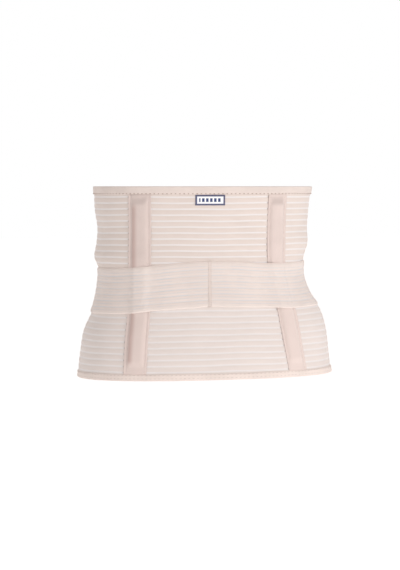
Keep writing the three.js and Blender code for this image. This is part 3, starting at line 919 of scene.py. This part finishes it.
def sew_panel():
    """Stitches round the front panel, inside its edge"""
    body = form()
    reach, out = 1 - PANEL_START, lying_on_belt() + PANEL_THICKNESS - 0.3
    low, high = BOTTOM_HEM + 4.5, body.height - TOP_HEM - 4.5
    part = np.linspace(-1, 1, 200) * (1 - PANEL_SEAM / (reach * FRONT_HALF))
    up = np.linspace(low, high, 200)
    runs = [(1 + part * reach, level, out) for level in (low, high)]
    runs += [(1 + sign * (reach - PANEL_SEAM / FRONT_HALF), up, out) for sign in (-1, 1)]
    sew("panel_stitches", runs)


def tab_outline():
    """Line of stitches round the strap tab, inside its edge"""
    corner = 9.0
    reach, tall = (1 - TAB_START) * FRONT_HALF - TAB_SEAM, TAB_HEIGHT / 2 - TAB_SEAM
    turn = np.linspace(0, math.pi / 2, 12)
    x, y = reach - corner + corner * np.sin(turn), tall - corner + corner * np.cos(turn)
    loop_x = np.concatenate([x, x[::-1], -x, -x[::-1], x[:1]])
    loop_y = np.concatenate([y, -y[::-1], -y, y[::-1], y[:1]])
    length = np.concatenate([[0], np.cumsum(np.hypot(np.diff(loop_x), np.diff(loop_y)))])
    at = np.linspace(0, length[-1], 500)
    out = lying_on_straps() + TAB_THICKNESS - 0.28
    height = LEFT_STRAP[-1, 1] * form().height + np.interp(at, length, loop_y)
    return 1 + np.interp(at, length, loop_x) / FRONT_HALF, height, out


def make_stitching():
    """Sew every row, piece by piece"""
    sew_hems()
    sew_pocket("left", LEFT_POCKET, -1, LEFT_INNER_EDGE, -14.4)
    sew_pocket("right", RIGHT_POCKET, 1, RIGHT_INNER_EDGE, RIGHT_INNER_EDGE + 0.45)
    sew_seam()
    sew_label()
    sew_panel()
    sew("tab_stitches", [tab_outline()])


def finish_stays():
    """The stays are right as they are and get their steel"""
    for name in ("stay_left", "stay_right"):
        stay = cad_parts[name]
        for slot in stay.material_slots:
            slot.material = material("steel")


# Stage: each lamp has a place in metres, a share of the key light's power and a width. The camera aims left
# of and below the level of the upper edge, by so many pixels of the photograph.
LAMPS = {
    "key_light": ((2.0, -2.5, 0.7), 1.0, 1.1),
    "soft_fill": ((-0.4, -3.2, 1.4), 0.18, 1.6),
    "front_fill": ((-1.2, 3.0, 1.2), 0.45, 1.6),
}
CAMERA_TURN = math.radians(-5.5)
PHOTO_FOCAL, AIM_LEFT, AIM_DOWN = 2370.0, 2.3, 98.4
WHITE, WARM_WHITE = (1.0, 1.0, 1.0, 1.0), (1.0, 0.965, 0.945, 1.0)
FLOOR_GLOW = 0.46


def make_floor(stage):
    """A pale floor that glows a little"""
    bm = bmesh.new()
    bmesh.ops.create_grid(bm, x_segments=4, y_segments=4, size=30)
    bmesh.ops.translate(bm, verts=bm.verts, vec=(0, 0, stage.floor_drop))
    paint = Pattern("floor_paint", 0.9)
    greys = paint.blend(paint.noise(3.0, 2.0), (0.93, 0.93, 0.93), (0.95, 0.95, 0.95))
    paint.fill(paint.surface.inputs["Base Color"], greys)
    paint.surface.inputs["Emission Color"].default_value = WHITE
    paint.surface.inputs["Emission Strength"].default_value = FLOOR_GLOW
    from_bmesh(bm, "studio_floor", paint.material)


def make_world(stage):
    """Soft light all round. The camera sees it as plain white."""
    world = bpy.data.worlds.new("studio")
    bpy.context.scene.world = world
    nodes = Nodes(world)
    seen = nodes.add("ShaderNodeBackground", {"Color": WHITE, "Strength": 1.0})
    lit = nodes.add("ShaderNodeBackground", {"Color": WARM_WHITE, "Strength": stage.dome})
    by_camera = nodes.add("ShaderNodeLightPath").outputs["Is Camera Ray"]
    mix = nodes.add("ShaderNodeMixShader", {0: by_camera, 1: lit.outputs[0], 2: seen.outputs[0]})
    nodes.add("ShaderNodeOutputWorld", {"Surface": mix.outputs[0]})


def make_lamps(stage):
    """Square lamps, each turned to the binder"""
    for name, (place, power, width) in LAMPS.items():
        lamp = bpy.data.lights.new(name, "AREA")
        lamp.energy, lamp.size = stage.key * power, width
        holder = in_scene(name, lamp)
        holder.location = place
        holder.rotation_euler = (-Vector(place)).to_track_quat("-Z", "Y").to_euler()


def make_camera(stage):
    """The camera stands level with the binder's upper edge, behind the wearer"""
    right = Vector((math.cos(CAMERA_TURN), math.sin(CAMERA_TURN), 0))
    ahead = Vector((-math.sin(CAMERA_TURN), math.cos(CAMERA_TURN), 0))
    lens = bpy.data.cameras.new("camera")
    lens.lens, lens.sensor_width, lens.clip_end = stage.lens, 36.0, 100.0
    camera = in_scene("camera", lens)
    top = (1 - TorsoForm.waist_share) * sizes().belt_height
    camera.location = -ahead * stage.distance + Vector((0, 0, top))
    aim = ahead - right * (AIM_LEFT / PHOTO_FOCAL) - Vector((0, 0, AIM_DOWN / PHOTO_FOCAL))
    camera.rotation_euler = aim.to_track_quat("-Z", "Y").to_euler()
    bpy.context.scene.camera = camera


def make_stage():
    """Everything round the binder. The plain view keeps the background white."""
    stage = bpy.context.scene.binder_stage
    bpy.context.scene.view_settings.view_transform = "Standard"
    for make in (make_floor, make_world, make_lamps, make_camera):
        make(stage)


# Operators

class BINDER_OT_belt(bpy.types.Operator):
    """Make the ribbed belt and the tapes on its edges"""
    bl_idname = "binder.belt"
    bl_label = "Belt and edge tapes"

    def execute(self, context):
        make_belt()
        for tape in (make_binding("top_tape", form().height, TOP_HEM, 1, "top_binding", "tape"),
                     make_binding("bottom_tape", 0.0, BOTTOM_HEM, -1, "bottom_binding", "bottom_tape")):
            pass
        return {"FINISHED"}


class BINDER_OT_pockets(bpy.types.Operator):
    """Make the two stay pockets and finish the stays in them"""
    bl_idname = "binder.pockets"
    bl_label = "Stay pockets"

    def execute(self, context):
        for pocket in (make_pocket("pocket_left", LEFT_POCKET, -1, LEFT_INNER_EDGE, "stay_pocket_left"),
                       make_pocket("pocket_right", RIGHT_POCKET, 1, RIGHT_INNER_EDGE, "stay_pocket_right")):
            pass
        finish_stays()
        return {"FINISHED"}


class BINDER_OT_straps(bpy.types.Operator):
    """Make the two waist straps and the seam between them"""
    bl_idname = "binder.straps"
    bl_label = "Waist straps"

    def execute(self, context):
        left = make_strap("strap_left", LEFT_POCKET, LEFT_STRAP, -1, "waist_strap_left")
        right = make_strap("strap_right", RIGHT_POCKET, RIGHT_STRAP, 1, "waist_strap_right")
        make_seam()
        return {"FINISHED"}


class BINDER_OT_label(bpy.types.Operator):
    """Make the woven label"""
    bl_idname = "binder.label"
    bl_label = "Label"

    def execute(self, context):
        make_label()
        return {"FINISHED"}


class BINDER_OT_closures(bpy.types.Operator):
    """Make the front panel and the tab of the straps"""
    bl_idname = "binder.closures"
    bl_label = "Front closures"

    def execute(self, context):
        make_panel()
        make_tab()
        return {"FINISHED"}


class BINDER_OT_stitching(bpy.types.Operator):
    """Sew every row of stitches"""
    bl_idname = "binder.stitching"
    bl_label = "Stitches"

    def execute(self, context):
        make_stitching()
        return {"FINISHED"}


class BINDER_OT_stage(bpy.types.Operator):
    """Make the floor, the lights and the camera"""
    bl_idname = "binder.stage"
    bl_label = "Stage"

    def execute(self, context):
        make_stage()
        return {"FINISHED"}


class BINDER_PT_sidebar(bpy.types.Panel):
    """Lists what can be made and changed"""
    bl_label = "Abdominal binder"
    bl_idname = "BINDER_PT_sidebar"
    bl_space_type = "VIEW_3D"
    bl_region_type = "UI"
    bl_category = "Binder"

    def draw(self, context):
        for group in (context.scene.binder_sizes, context.scene.binder_colours, context.scene.binder_stage):
            box = self.layout.box()
            for key in group.__annotations__:
                box.prop(group, key)
        for maker in OPERATORS:
            self.layout.operator(maker.bl_idname)


OPERATORS = (BINDER_OT_belt, BINDER_OT_pockets, BINDER_OT_straps, BINDER_OT_label, BINDER_OT_closures,
             BINDER_OT_stitching, BINDER_OT_stage)
CLASSES = (BinderSizes, BinderColours, BinderStage, *OPERATORS, BINDER_PT_sidebar)


def register():
    for item in CLASSES:
        bpy.utils.register_class(item)
    bpy.types.Scene.binder_sizes = bpy.props.PointerProperty(type=BinderSizes)
    bpy.types.Scene.binder_colours = bpy.props.PointerProperty(type=BinderColours)
    bpy.types.Scene.binder_stage = bpy.props.PointerProperty(type=BinderStage)


def unregister():
    del bpy.types.Scene.binder_sizes, bpy.types.Scene.binder_colours, bpy.types.Scene.binder_stage
    for item in reversed(CLASSES):
        bpy.utils.unregister_class(item)


def main():
    """Make the whole binder"""
    register()
    bpy.ops.binder.stage()
    bpy.ops.binder.belt()
    bpy.ops.binder.pockets()
    bpy.ops.binder.straps()
    bpy.ops.binder.label()
    bpy.ops.binder.closures()
    bpy.ops.binder.stitching()


if __name__ == "__main__":
    main()
